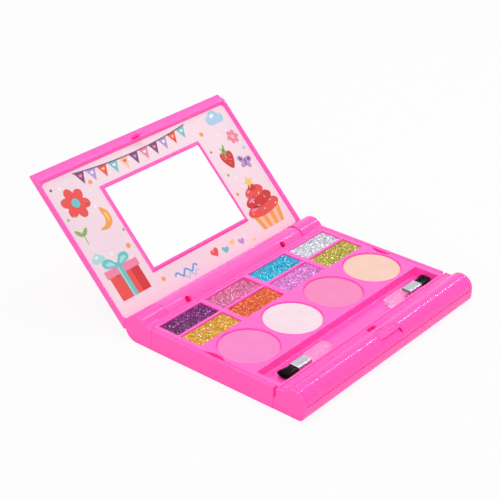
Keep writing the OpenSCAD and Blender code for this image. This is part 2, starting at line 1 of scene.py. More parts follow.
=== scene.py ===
"""Looks of a clamshell make-up compact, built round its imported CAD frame. Metres, +Z up."""
import math
import random

import bmesh
import bpy
from mathutils import Matrix, Vector, noise


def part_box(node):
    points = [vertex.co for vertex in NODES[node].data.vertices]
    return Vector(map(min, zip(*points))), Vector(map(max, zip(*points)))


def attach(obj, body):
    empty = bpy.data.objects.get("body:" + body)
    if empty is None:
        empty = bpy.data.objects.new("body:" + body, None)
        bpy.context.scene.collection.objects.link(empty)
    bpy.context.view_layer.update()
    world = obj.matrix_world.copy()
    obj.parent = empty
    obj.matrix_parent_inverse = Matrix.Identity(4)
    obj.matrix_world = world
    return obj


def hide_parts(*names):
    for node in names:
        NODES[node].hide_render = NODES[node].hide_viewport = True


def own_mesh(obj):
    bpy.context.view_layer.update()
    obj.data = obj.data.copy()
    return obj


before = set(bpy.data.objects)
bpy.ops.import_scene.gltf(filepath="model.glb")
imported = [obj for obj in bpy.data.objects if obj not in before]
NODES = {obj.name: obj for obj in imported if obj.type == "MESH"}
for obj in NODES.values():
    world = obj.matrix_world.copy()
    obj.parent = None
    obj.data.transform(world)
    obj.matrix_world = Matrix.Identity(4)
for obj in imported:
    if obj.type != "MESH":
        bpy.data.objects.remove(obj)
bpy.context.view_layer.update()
MM = 0.001
# Distances in metres that count as nothing: between corners that are welded, and in comparisons
WELD = 0.002 * MM
EPS = 0.001 * MM

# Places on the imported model, in millimetres
HINGE_Y = 57.2
HINGE_Z = 8.8
OPEN_ANGLE = 134.8
BARREL_HOLLOW_R = 7.6
SLIDE_TILT = 30
CARD_Z = 15.8
# Turns a point of the shut lid to the open position
OPENED = (Matrix.Translation((0, HINGE_Y * MM, HINGE_Z * MM))
          @ Matrix.Rotation(math.radians(-OPEN_ANGLE), 4, "X")
          @ Matrix.Translation((0, -HINGE_Y * MM, -HINGE_Z * MM)))


# ---- Colours and materials ----

WHITE = (1, 1, 1, 1)
# Sockets of a Mix node that mixes colours, which share their names with those for numbers
MIX_A = 6
MIX_B = 7
MIX_RESULT = 2


def rgb(r, g, b, a=1.0):
    """A screen colour, 0 to 255, as Blender's linear one."""
    def linear(c):
        c /= 255
        return c / 12.92 if c <= 0.04045 else ((c + 0.055) / 1.055) ** 2.4
    return (linear(r), linear(g), linear(b), a)


def tint(color, factor):
    """The colour, brighter or darker by the factor."""
    return tuple(min(1, c * factor) for c in color[:3]) + (color[3],)


def blend(a, b, share):
    """The colour that lies this share of the way from a to b."""
    return tuple(p + (q - p) * share for p, q in zip(a, b))


class Material:
    """A Principled material whose colour, roughness and bump come from procedural nodes."""

    def __init__(self, name, color, roughness=0.3, **sockets):
        self.material = bpy.data.materials.new(name)
        self.material.use_nodes = True
        self.nodes = self.material.node_tree.nodes
        self.links = self.material.node_tree.links
        self.shader = self.nodes["Principled BSDF"]
        self.shader.inputs["Base Color"].default_value = color
        self.shader.inputs["Roughness"].default_value = roughness
        for socket, value in sockets.items():
            self.shader.inputs[socket.replace("_", " ")].default_value = value
        self.where = self.nodes.new("ShaderNodeTexCoord").outputs["Object"]

    def noise(self, scale, detail=3, roughness=0.5, stretch=None):
        """Cloudy noise from 0 to 1; the scale is in waves per metre."""
        node = self.nodes.new("ShaderNodeTexNoise")
        node.inputs["Scale"].default_value = scale
        node.inputs["Detail"].default_value = detail
        node.inputs["Roughness"].default_value = roughness
        where = self.where
        if stretch:
            mapping = self.nodes.new("ShaderNodeMapping")
            mapping.inputs["Scale"].default_value = stretch
            self.links.new(where, mapping.inputs["Vector"])
            where = mapping.outputs["Vector"]
        self.links.new(where, node.inputs["Vector"])
        return node.outputs["Fac"]

    def cells(self, scale):
        """Distance to the nearest of many scattered points."""
        node = self.nodes.new("ShaderNodeTexVoronoi")
        node.inputs["Scale"].default_value = scale
        self.links.new(self.where, node.inputs["Vector"])
        return node.outputs["Distance"]

    def island(self):
        """A number from 0 to 1 for each loose part of the mesh."""
        return self.nodes.new("ShaderNodeNewGeometry").outputs["Random Per Island"]

    def openness(self, reach):
        """Ambient occlusion: 1 on open surfaces, less in the piece's own grooves that are narrower
        than the reach; used for painted shade.
        """
        node = self.nodes.new("ShaderNodeAmbientOcclusion")
        node.samples = 16
        node.only_local = True
        node.inputs["Distance"].default_value = reach
        return node.outputs["AO"]

    def ramp(self, value, stops):
        """A colour ramp: stops are (position, colour)."""
        node = self.nodes.new("ShaderNodeValToRGB")
        elements = node.color_ramp.elements
        while len(elements) < len(stops):
            elements.new(0.5)
        for element, (position, color) in zip(elements, stops):
            element.position = position
            element.color = color
        self.links.new(value, node.inputs["Fac"])
        return node.outputs["Color"]

    def multiply(self, a, b):
        """One colour darkened by another."""
        node = self.nodes.new("ShaderNodeMix")
        node.data_type = "RGBA"
        node.blend_type = "MULTIPLY"
        node.inputs["Factor"].default_value = 1
        self.links.new(a, node.inputs[MIX_A])
        self.links.new(b, node.inputs[MIX_B])
        return node.outputs[MIX_RESULT]

    def spread(self, value, low, high, to_low, to_high):
        """The value, with low to high stretched to another range."""
        node = self.nodes.new("ShaderNodeMapRange")
        for socket, number in zip(("From Min", "From Max", "To Min", "To Max"),
                                  (low, high, to_low, to_high)):
            node.inputs[socket].default_value = number
        self.links.new(value, node.inputs["Value"])
        return node.outputs["Result"]

    def color(self, output):
        """Takes the base colour from a node."""
        self.links.new(output, self.shader.inputs["Base Color"])
        return self

    def roughness(self, output):
        """Takes the roughness from a node."""
        self.links.new(output, self.shader.inputs["Roughness"])
        return self

    def bump(self, output, strength, distance):
        """Adds fine relief; the distance is its height in metres."""
        node = self.nodes.new("ShaderNodeBump")
        node.inputs["Strength"].default_value = strength
        node.inputs["Distance"].default_value = distance
        self.links.new(output, node.inputs["Height"])
        before = self.shader.inputs["Normal"].links
        if before:
            self.links.new(before[0].from_socket, node.inputs["Normal"])
        self.links.new(node.outputs["Normal"], self.shader.inputs["Normal"])
        return self


# Colour of the painted glow: an emission that lifts the pink plastic's shaded sides
PAINTED_GLOW_RED = (1.0, 0.0, 0.3, 1)
# Painted shade: the deeper red put into the plastic's own grooves and gaps
PAINTED_SHADE_RED = (1.0, 0.08, 0.3, 1)
RED_SCATTER = (1.0, 0.14, 0.3)


def moulded_plastic(name, color, roughness=0.16, shade_reach=1.3 * MM):
    """Glossy ABS with a painted red glow, an emission that lifts its shaded sides though it is no
    lamp: faint flow marks and polish.

    Painted shade: the piece's own gaps that are narrower than the shade reach are a deeper red."""
    # The emission paints a red glow that lifts the shaded sides; it is no lamp
    made = Material(name, color, roughness, IOR=1.5, Specular_IOR_Level=0.5,
                    Emission_Color=PAINTED_GLOW_RED, Emission_Strength=0.19, Subsurface_Weight=0.35,
                    Subsurface_Radius=RED_SCATTER, Subsurface_Scale=4 * MM)
    flow = made.noise(22, 2)
    shade = made.ramp(flow, [(0.3, tint(color, 0.98)), (0.7, tint(color, 1.01))])
    # Painted shade: ambient occlusion darkens the grooves and gaps to a deeper red
    depth = made.ramp(made.openness(shade_reach), [(0.2, PAINTED_SHADE_RED), (0.75, WHITE)])
    made.color(made.multiply(shade, depth))
    polish = made.noise(60, 2)
    made.roughness(made.spread(polish, 0.3, 0.7, roughness - 0.02, roughness + 0.03))
    made.bump(made.noise(30, 1), 0.03, 0.1 * MM)
    return made.material


def steel(name, color, roughness):
    """Drawn steel, with fine lines along its length."""
    made = Material(name, color, roughness, Metallic=1.0)
    drawn = made.noise(900, 3, 0.5, (0.04, 1, 1))
    made.color(made.ramp(drawn, [(0.35, tint(color, 0.93)), (0.65, tint(color, 1.05))]))
    made.roughness(made.spread(drawn, 0.3, 0.7, roughness - 0.03, roughness + 0.05))
    made.bump(drawn, 0.05, 0.02 * MM)
    return made.material


def pressed_powder(name, color):
    """Matt pressed powder: faint clouds, fine grain and a few darker specks."""
    made = Material(name, color, 0.8, Specular_IOR_Level=0.25, Sheen_Weight=0.15,
                    Sheen_Roughness=0.5)
    cloud = made.ramp(made.noise(110, 4), [(0.3, tint(color, 0.965)), (0.7, tint(color, 1.02))])
    grain = made.ramp(made.noise(2600, 2), [(0.35, (0.94, 0.94, 0.94, 1)), (0.6, WHITE)])
    specks = made.ramp(made.cells(330), [(0.0, (0.86, 0.83, 0.85, 1)), (0.07, WHITE)])
    made.color(made.multiply(made.multiply(cloud, grain), specks))
    made.bump(made.noise(2400, 3, 0.6), 0.25, 0.04 * MM)
    made.bump(made.noise(90, 3), 0.12, 0.2 * MM)
    return made.material


def glitter_flakes(name, color, glint_paleness):
    """Metallised flakes: each takes its own shade at random, and the palest few are painted glints
    in a pale tone of it.
    """
    top = max(color[:3])
    bright = tuple(c / top for c in color[:3]) + (1,)
    painted_glint = blend(bright, WHITE, glint_paleness)
    made = Material(name, color, 0.3, Metallic=0.6)
    # The palest stops are painted glints: flakes coloured near white as if they caught a lamp
    made.color(made.ramp(made.island(), [
        (0.0, tint(color, 0.45)), (0.28, tint(color, 0.8)), (0.55, tint(color, 1.05)),
        (0.78, blend(color, bright, 0.25)), (0.87, blend(color, bright, 0.7)), (0.92, painted_glint)]))
    made.roughness(made.spread(made.noise(500), 0.3, 0.7, 0.14, 0.34))
    return made.material


def printed_ink(name, color):
    """Flat printed ink on card, with a faint paper grain."""
    made = Material(name, color, 0.5, Specular_IOR_Level=0.4)
    paper = made.noise(1500, 4, 0.6)
    made.color(made.ramp(paper, [(0.3, tint(color, 0.97)), (0.7, tint(color, 1.02))]))
    made.bump(paper, 0.05, 0.03 * MM)
    return made.material


# ---- Making pieces ----

def box_mm(node):
    """The low and the high corner of a CAD node, in millimetres."""
    return [[c / MM for c in corner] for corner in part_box(node)]


def piece(name, mesh, body, material, replaced=()):
    """A visible piece, which rides on a body and may stand for CAD nodes."""
    made = bpy.data.objects.new(name, mesh)
    bpy.context.collection.objects.link(made)
    for one in material if isinstance(material, (list, tuple)) else [material]:
        made.data.materials.append(one)
    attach(made, body)
    if replaced:
        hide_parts(*replaced)
    return made


def solid(name, points, faces, angle=35, indices=None):
    """A mesh from points in millimetres, smooth but for edges sharper than angle."""
    mesh = bpy.data.meshes.new(name)
    mesh.from_pydata([[c * MM for c in point] for point in points], [], faces)
    if indices:
        mesh.polygons.foreach_set("material_index", indices)
    shape = bmesh.new()
    shape.from_mesh(mesh)
    bmesh.ops.recalc_face_normals(shape, faces=shape.faces)
    shape.to_mesh(mesh)
    shape.free()
    mesh.shade_smooth()
    mesh.set_sharp_from_angle(angle=math.radians(angle))
    return mesh


def skin(rings, caps=True, hoop=False):
    """Points and faces that join equal rings of points; hoop joins the last ring to the first."""
    count = len(rings[0])
    points = [point for ring in rings for point in ring]
    faces = []
    for i in range(len(rings) - (0 if hoop else 1)):
        a, b = i * count, (i + 1) % len(rings) * count
        for j in range(count):
            k = (j + 1) % count
            faces.append((a + j, a + k, b + k, b + j))
    if caps and not hoop:
        faces.append(tuple(range(count))[::-1])
        faces.append(tuple(len(points) - count + j for j in range(count)))
    return points, faces


def round_section(half_w, half_t, r, steps=6):
    """Points of a rectangle with round corners."""
    r = min(r, half_w - 0.01, half_t - 0.01)
    points = []
    for corner, (sx, sy) in enumerate(((1, 1), (-1, 1), (-1, -1), (1, -1))):
        for i in range(steps + 1):
            a = math.radians(90 * corner + 90 * i / steps)
            points.append((sx * (half_w - r) + r * math.cos(a),
                           sy * (half_t - r) + r * math.sin(a)))
    return points


def inward(edge, face):
    """The direction in the face's plane that leads from the edge into the face."""
    for loop in face.loops:
        if loop.edge == edge:
            run = loop.link_loop_next.vert.co - loop.vert.co
            return face.normal.cross(run).normalized()


# Share of a face that a bevel may take: beside an edge that has a bevel too, and beside a plain one
SHARE_CUT = 0.5
SHARE_PLAIN = 0.9
# Least slope of a neighbouring edge into the face that counts, and widest half angle, in radians,
# of a corner between two edges that are cut
LEAST_SLOPE = 0.02
WIDEST_HALF = 1.3
# Bevels narrower than this share of the wanted width are left out
LEAST_BEVEL = 0.25
# Angles in degrees: of flat faces that are joined, of edges that are cut, of edges that stay sharp
FLAT_ANGLE = 0.3
CUT_ANGLE = 28
SHARP_ANGLE = 36


def clearance(edge, face, cut):
    """How wide a bevel the face has room for along this edge, in metres."""
    into = inward(edge, face)
    first, last = edge.verts[0].co, edge.verts[1].co
    run = (last - first).normalized()
    room = math.inf
    for other in face.edges:
        if other == edge:
            continue
        a, b = other.verts[0].co - first, other.verts[1].co - first
        share = SHARE_CUT if other in cut else SHARE_PLAIN
        touching = set(other.verts) & set(edge.verts)
        if touching:
            corner = touching.pop()
            side = (other.other_vert(corner).co - corner.co).normalized()
            own = (edge.other_vert(corner).co - corner.co).normalized()
            half = side.angle(own, 0) / 2
            slope = side.dot(into)
            if slope > LEAST_SLOPE and other not in cut:
                room = min(room, other.calc_length() * slope * share)
            elif slope > LEAST_SLOPE and half < WIDEST_HALF:
                short = min(other.calc_length(), edge.calc_length())
                room = min(room, short * math.tan(half) * share)
            continue
        start, end = sorted((a.dot(run), b.dot(run)))
        if end < 0 or start > (last - first).length:
            continue
        near, far = sorted((a.dot(into), b.dot(into)))
        if far > EPS:
            room = min(room, max(near, 0) * share)
    return room


def in_barrel(point):
    """Inside the hollow of the hinge barrel, where every edge stays as it is."""
    reach = math.hypot(point.y - HINGE_Y * MM, point.z - HINGE_Z * MM)
    return reach < BARREL_HOLLOW_R * MM


def rounded_copy(node, width, body, material):
    """A copy of a CAD node with its outer edges rounded, which stands for the node."""
    mesh = NODES[node].data.copy()
    mesh.materials.clear()
    shape = bmesh.new()
    shape.from_mesh(mesh)
    bmesh.ops.remove_doubles(shape, verts=shape.verts, dist=WELD)
    bmesh.ops.dissolve_limit(shape, angle_limit=math.radians(FLAT_ANGLE),
                             verts=shape.verts, edges=shape.edges)
    weight = shape.edges.layers.float.new("bevel_weight_edge")
    cut = {edge for edge in shape.edges
           if len(edge.link_faces) == 2 and edge.is_convex
           and edge.calc_face_angle(0) > math.radians(CUT_ANGLE)
           and not in_barrel((edge.verts[0].co + edge.verts[1].co) / 2)}
    for edge in cut:
        room = min(clearance(edge, face, cut) for face in edge.link_faces)
        share = min(1.0, room / (width * MM))
        edge[weight] = share if share > LEAST_BEVEL else 0.0
    shape.to_mesh(mesh)
    shape.free()
    sharp = bpy.data.objects.new("sharp", mesh)
    bpy.context.collection.objects.link(sharp)
    bevel = sharp.modifiers.new("edges", "BEVEL")
    bevel.width = width * MM
    bevel.segments = 3
    bevel.limit_method = "WEIGHT"
    bevel.use_clamp_overlap = False
    bevel.miter_outer = "MITER_ARC"
    made = bpy.data.meshes.new_from_object(
        sharp.evaluated_get(bpy.context.evaluated_depsgraph_get()))
    bpy.data.objects.remove(sharp)
    made.name = node + "_rounded"
    made.shade_smooth()
    made.set_sharp_from_angle(angle=math.radians(SHARP_ANGLE))
    rounded = piece(made.name, made, body, material, [node])
    even = rounded.modifiers.new("normals", "WEIGHTED_NORMAL")
    even.keep_sharp = True
    even.weight = 80


# ---- The plastic mouldings ----

PALE_PINK = (1.0, 0.130, 0.56, 1)
shell_plastic = moulded_plastic("shell_plastic", (1.0, 0.095, 0.50, 1))
# The cover's pink is deeper than the shell's: painted shade for the darker lower side of the roll
cover_plastic = moulded_plastic("cover_plastic", (1.0, 0.080, 0.50, 1))
lid_plastic = moulded_plastic("lid_plastic", (1.0, 0.122, 0.53, 1))
# Its rib valleys take the painted shade of the grooves, over a narrower reach
button_plastic = moulded_plastic("button_plastic", PALE_PINK, 0.42, shade_reach=0.5 * MM)
palette_plastic = moulded_plastic("palette_plastic", PALE_PINK, 0.2)

# The widths of the rounded edges are in millimetres
rounded_copy("bottom_shell", 0.35, "base", shell_plastic)
rounded_copy("tray_frame", 0.2, "base", shell_plastic)
rounded_copy("front_cover", 0.3, "base", cover_plastic)
rounded_copy("palette_tray", 0.18, "palette", palette_plastic)
rounded_copy("lid_shell", 0.35, "lid", lid_plastic)


def dress(node, material):
    """Gives a CAD node that stays as it is its finished material."""
    data = NODES[node]
    for i in range(len(data.material_slots)):
        data.material_slots[i].link = "OBJECT"
        data.material_slots[i].material = material


pin_steel = steel("pin_steel", (0.56, 0.55, 0.54, 1), 0.28)
spring_steel = steel("spring_steel", (0.45, 0.45, 0.46, 1), 0.32)
dress("latch_button", button_plastic)
dress("hinge_pin_left", pin_steel)
dress("hinge_pin_right", pin_steel)


# ---- Return spring of the slide ----

SLIDE = Vector((0, -math.cos(math.radians(SLIDE_TILT)), -math.sin(math.radians(SLIDE_TILT))))
SPRING_L = 4.6
SPRING_TURNS = 5
COIL_R = 1.0
COIL_STEPS = 28
WIRE_R = 0.2
WIRE_SIDES = 10


def coil(middle):
    """Points and faces of the wire, wound about the slide's line of travel."""
    across = Vector((1, 0, 0))
    up = SLIDE.cross(across)
    steps = SPRING_TURNS * COIL_STEPS
    rings = []
    for k in range(steps + 1):
        turn = 2 * math.pi * SPRING_TURNS * k / steps
        out = across * math.cos(turn) + up * math.sin(turn)
        rise = (SPRING_L - 2 * WIRE_R) * (k / steps - 0.5)
        ring = []
        for j in range(WIRE_SIDES):
            a = 2 * math.pi * j / WIRE_SIDES
            ring.append(middle + SLIDE * rise + out * COIL_R
                        + (out * math.cos(a) + SLIDE * math.sin(a)) * WIRE_R)
        rings.append(ring)
    return skin(rings)


low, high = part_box("latch_spring")
spring_middle = (low + high) / 2 / MM
points, faces = coil(spring_middle)
spring = piece("latch_spring_wound", solid("latch_spring_wound", points, faces, 50), "base",
               spring_steel, ["latch_spring"])
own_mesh(spring)


# ---- Powder pans ----

def lathe(profile, middle, segments=96):
    """A turned shape: its profile is (radius, height), from the top's middle to the foot's."""
    turns = [2 * math.pi * j / segments for j in range(segments)]
    rings = [[(middle[0] + r * math.cos(a), middle[1] + r * math.sin(a), z) for a in turns]
             for r, z in profile[1:-1]]
    points, faces = skin(rings, caps=False)
    for (_, z), first in ((profile[0], 0), (profile[-1], (len(rings) - 1) * segments)):
        points.append((middle[0], middle[1], z))
        for j in range(segments):
            faces.append((first + j, first + (j + 1) % segments, len(points) - 1))
    return points, faces


def arc(r0, z0, r, start, end, steps=5):
    """Points of an arc about (r0, z0), angles in degrees."""
    turns = [math.radians(start + (end - start) * i / steps) for i in range(steps + 1)]
    return [(r0 + r * math.cos(a), z0 + r * math.sin(a)) for a in turns]


POWDERS = (("powder_pink", (255, 140, 208)), ("powder_white", (255, 229, 237)),
           ("powder_rose", (255, 144, 198)), ("powder_peach", (255, 213, 196)))
PAN_SHEET = 0.5
PAN_INNER_R = 0.6
PAN_FOOT_R = 0.5
# Radii of the rings on the powder's face, which let it be uneven
FACE_RINGS = (1.5, 3, 4.5, 6, 7.5, 9, 10.5, 12, 13.5, 15, 16, 16.6)
# Where the powder's face turns down at its edge: (distance from the pan's wall, depth)
FACE_EDGE = ((1.0, 0.01), (0.7, 0.04), (0.4, 0.1), (0.2, 0.2), (0.08, 0.4))
# Where it turns in at its foot: (distance from the pan's wall, height above the foot)
POWDER_FOOT = ((0.08, 0.7), (0.75, 0.06))
pan_plastic = moulded_plastic("pan_plastic", (1.0, 0.105, 0.53, 1))


def pan_profile(low, high):
    """Section of a dish formed from sheet, with a round lip."""
    out = (high[0] - low[0]) / 2
    inner = out - PAN_SHEET
    lip = PAN_SHEET / 2
    bed = low[2] + PAN_SHEET
    return ([(0, bed), (inner - PAN_INNER_R, bed)]
            + arc(inner - PAN_INNER_R, bed + PAN_INNER_R, PAN_INNER_R, -90, 0)[1:]
            + arc(out - lip, high[2] - lip, lip, 180, 0, 8)
            + arc(out - PAN_FOOT_R, low[2] + PAN_FOOT_R, PAN_FOOT_R, 0, -90)
            + [(0, low[2])])


def powder_profile(inner, foot, face):
    """Section of a powder cake that fills a pan to its wall."""
    return ([(0, face)] + [(r, face) for r in FACE_RINGS]
            + [(inner - space, face - depth) for space, depth in FACE_EDGE]
            + [(inner - space, foot + rise) for space, rise in POWDER_FOOT]
            + [(0, foot + POWDER_FOOT[-1][1])])


def pressed_face(points, face, seed):
    """Makes the face of the powder a little uneven, never above its own height."""
    made = []
    for x, y, z in points:
        if z > face - 0.3:
            swell = noise.noise(Vector((x * 0.22, y * 0.22, seed * 7.0)))
            fine = noise.noise(Vector((x * 1.1, y * 1.1, seed * 3.0)))
            z += -0.03 + 0.03 * swell + 0.012 * fine
        made.append((x, y, z))
    return made


for i, (slot, color) in enumerate(POWDERS, 1):
    low, high = box_mm(f"pan_{i}")
    middle = ((low[0] + high[0]) / 2, (low[1] + high[1]) / 2)
    inner = (high[0] - low[0]) / 2 - PAN_SHEET
    points, faces = lathe(pan_profile(low, high), middle)
    name = f"pan_{i}_formed"
    piece(name, solid(name, points, faces, 50), "palette", pan_plastic, [f"pan_{i}"])
    low, high = box_mm(f"powder_{i}")
    points, faces = lathe(powder_profile(inner, low[2], high[2]), middle)
    points = pressed_face(points, high[2], i)
    name = f"powder_{i}_pressed"
    material = pressed_powder(f"powder_{i}", rgb(*color))
    piece(name, solid(name, points, faces, 50), "palette", material, [f"powder_{i}"])


# ---- Glitter wells ----

# Slot, screen colour, and how pale the flakes with painted glints are
GLITTERS = (
    ("glitter_purple", (106, 22, 100), 0.25), ("glitter_pink", (244, 122, 180), 0.65),
    ("glitter_blue", (22, 198, 236), 0.65), ("glitter_silver", (236, 238, 248), 0.8),
    ("glitter_gold", (246, 184, 48), 0.8), ("glitter_orange", (255, 110, 44), 0.6),
    ("glitter_lilac", (246, 144, 236), 0.65), ("glitter_olive", (208, 194, 70), 0.6))
FLAKES = 1700
FLAKE_R = 0.32
FLAKE_T = 0.03
FLAKE_TILT = 0.32
FLAKE_SPREAD = (0.75, 1.15)
FLAKE_DEPTH = (0.12, 0.34)
# The gel under the flakes: cells of its face, space around it, depth and waviness of its face
BED_NX = 46
BED_NY = 20
BED_SPACE = 0.02
BED_DEPTH = 0.35
BED_WAVE = 0.12


def glitter_bed(low, high, seed):
    """The gel block under the flakes, with an uneven face."""
    x0, x1 = low[0] + BED_SPACE, high[0] - BED_SPACE
    y0, y1 = low[1] + BED_SPACE, high[1] - BED_SPACE
    row = BED_NX + 1
    points, faces = [], []
    for j in range(BED_NY + 1):
        for i in range(row):
            x = x0 + (x1 - x0) * i / BED_NX
            y = y0 + (y1 - y0) * j / BED_NY
            rise = noise.noise(Vector((x * 0.8, y * 0.8, seed)))
            points.append((x, y, high[2] - BED_DEPTH + BED_WAVE * rise))
    for j in range(BED_NY):
        for i in range(BED_NX):
            a = j * row + i
            faces.append((a, a + 1, a + row + 1, a + row))
    rim = ([i for i in range(row)] + [j * row + BED_NX for j in range(1, BED_NY + 1)]
           + [BED_NY * row + i for i in range(BED_NX - 1, -1, -1)]
           + [j * row for j in range(BED_NY - 1, 0, -1)])
    foot = len(points)
    for k in rim:
        points.append((points[k][0], points[k][1], low[2] + 0.05))
    for n in range(len(rim)):
        m = (n + 1) % len(rim)
        faces.append((rim[n], rim[m], foot + m, foot + n))
    faces.append(tuple(foot + n for n in range(len(rim))))
    return points, faces


def flakes(low, high, seed):
    """Many thin hexagonal flakes, lying at all tilts in the face of the block."""
    draw = random.Random(seed)
    points, faces = [], []
    for _ in range(FLAKES):
        r = FLAKE_R * draw.uniform(*FLAKE_SPREAD)
        x = draw.uniform(low[0] + r, high[0] - r)
        y = draw.uniform(low[1] + r, high[1] - r)
        z = high[2] - draw.uniform(*FLAKE_DEPTH)
        turn = (Matrix.Rotation(draw.gauss(0, FLAKE_TILT), 3, "X")
                @ Matrix.Rotation(draw.gauss(0, FLAKE_TILT), 3, "Y")
                @ Matrix.Rotation(draw.uniform(0, math.pi), 3, "Z"))
        first = len(points)
        for side in (-0.5, 0.5):
            for k in range(6):
                a = math.radians(60 * k)
                p = turn @ Vector((r * math.cos(a), r * math.sin(a), side * FLAKE_T))
                points.append((x + p.x, y + p.y, min(high[2], z + p.z)))
        for k in range(6):
            m = (k + 1) % 6
            faces.append((first + k, first + m, first + 6 + m, first + 6 + k))
        faces.append(tuple(first + k for k in range(6))[::-1])
        faces.append(tuple(first + 6 + k for k in range(6)))
    return points, faces


def glitter_gel(name, color):
    """The dull gel that the flakes lie in."""
    made = Material(name, tint(color, 0.7), 0.35)
    grain = made.noise(700, 4)
    made.color(made.ramp(grain, [(0.35, tint(color, 0.5)), (0.65, tint(color, 0.85))]))
    made.bump(made.noise(900, 3), 0.4, 0.2 * MM)
    return made.material


for i, (slot, color, glint_paleness) in enumerate(GLITTERS, 1):
    node = f"glitter_{i}"
    low, high = box_mm(node)
    shade = rgb(*color)
    points, faces = glitter_bed(low, high, i * 11.0)
    name = node + "_bed"
    piece(name, solid(name, points, faces), "palette",
          glitter_gel(slot + "_gel", shade), [node])
    points, faces = flakes(low, high, 100 + i)
    name = node + "_flakes"
    piece(name, solid(name, points, faces, 20), "palette",
          glitter_flakes(slot + "_flakes", shade, glint_paleness), [node])


# ---- Brushes ----

# Places along a brush are in millimetres from the tips of its bristles
BRISTLE_L = 11
FERRULE_L = 12
HANDLE_L = 20.5
FERRULE_END = BRISTLE_L + FERRULE_L
HANDLE_END = FERRULE_END + HANDLE_L
# The handle: its tenon in the ferrule, then half width and half thickness of the clear slab
TENON_L = 5
TENON = (3.35, 1.35, 0.4)
HANDLE_W = 3.9
HANDLE_T = 1.95
HANDLE_EDGE_R = 0.5
HANDLE_TAIL_L = 9
SHOULDER_R = 1.5
END_R = 2.0
END_DROP = 1.2
# The ferrule: half width, half thickness and corner radius outside, then inside
FERRULE_OUT = (3.7, 1.7, 1.15)
FERRULE_IN = (3.46, 1.46, 0.95)
FERRULE_STEPS = (0, 0.15, 0.9, 1.15, 1.4, 1.65, 2.0)
CRIMP_AT = 1.4
# The bristles: number of hairs, how deep they sit in the ferrule, their taper, where the corners
# of a hair's section stand round it, in radians, and its least and greatest radius
HAIRS = 520
HAIR_ROOT = 2.5
HAIR_PARTS = ((0, 1), (0.35, 1), (0.7, 0.9), (0.9, 0.7), (1.0, 0.35))
HAIR_CORNERS = (0, 2.094, 4.189)
HAIR_R = (0.085, 0.13)
# Half width and half thickness of the tuft at the ferrule, how much more it is further out, and
# the place from which the tuft is widest
TUFT = (3.2, 1.2)
TUFT_FAN = (1.05, 0.5)
TUFT_WIDE_AT = 2.0
# The dark core that closes the gaps between the hairs: (place, half width, half thickness, radius)
HAIR_CORE = ((2.6, 3.4, 1.2, 1.0), (5.5, 3.3, 1.25, 1.0), (BRISTLE_L - 0.5, 3.1, 1.2, 0.9),
             (BRISTLE_L + 5, 3.1, 1.2, 0.9))

# An index of refraction nearer to real acrylic's turns the handle white, by total reflection
acrylic = Material("handle_clear", (1.0, 0.93, 0.97, 1), 0.03, IOR=1.1, Transmission_Weight=0.94,
                   Coat_Weight=1.0, Coat_Roughness=0.03)
acrylic.roughness(acrylic.spread(acrylic.noise(180, 3), 0.3, 0.7, 0.015, 0.06))
acrylic.bump(acrylic.noise(60, 1), 0.02, 0.1 * MM)
ferrule_metal = steel("ferrule_metal", (0.52, 0.55, 0.59, 1), 0.26)
hair = Material("bristle", (0.006, 0.004, 0.006, 1), 0.5, Specular_IOR_Level=0.3)
hair.color(hair.ramp(hair.island(), [(0.0, (0.003, 0.002, 0.003, 1)),
                                     (0.8, (0.009, 0.006, 0.008, 1)),
                                     (1.0, (0.03, 0.025, 0.03, 1))]))
hair.roughness(hair.spread(hair.noise(900), 0.3, 0.7, 0.42, 0.6))


def along(sections, place):
    """Rings along a brush: sections are (x, half width, half thickness, corner radius)."""
    return [[place(x, y, z) for y, z in round_section(w, t, r)] for x, w, t, r in sections]


def handle_sections():
    """Tenon, then the slab with its corners and long edges rounded."""
    made = [(FERRULE_END - TENON_L, *TENON), (FERRULE_END - 0.02, *TENON)]
    for i in range(7):
        a = math.radians(90 * i / 6)
        short = 1 - math.sin(a)
        made.append((FERRULE_END + SHOULDER_R * (1 - math.cos(a)), HANDLE_W - SHOULDER_R * short,
                     HANDLE_T - HANDLE_EDGE_R * short, HANDLE_EDGE_R))
    made.append((HANDLE_END - HANDLE_TAIL_L, HANDLE_W, HANDLE_T, HANDLE_EDGE_R))
    for i in range(9):
        a = math.radians(90 * i / 8)
        short = 1 - math.cos(a)
        made.append((HANDLE_END - END_R + END_R * math.sin(a), HANDLE_W - END_R * short,
                     HANDLE_T - END_DROP * short, HANDLE_EDGE_R))
    return made


def ferrule_sections():
    """Outside and inside of the flat tube, with a shallow crimp near each end."""
    half_w, half_t, r = FERRULE_OUT
    outer = []
    for x in ([BRISTLE_L + step for step in FERRULE_STEPS]
              + [FERRULE_END - step for step in reversed(FERRULE_STEPS)]):
        near = min(x - BRISTLE_L, FERRULE_END - x)
        off = abs(near - CRIMP_AT)
        dent = 0.1 if off < 0.1 else 0.05 if off < 0.3 else 0
        roll = 0.08 if near < 0.01 else 0
        outer.append((x, half_w - dent - roll, half_t - dent - roll, r))
    return outer + [(FERRULE_END, *FERRULE_IN), (BRISTLE_L, *FERRULE_IN)]


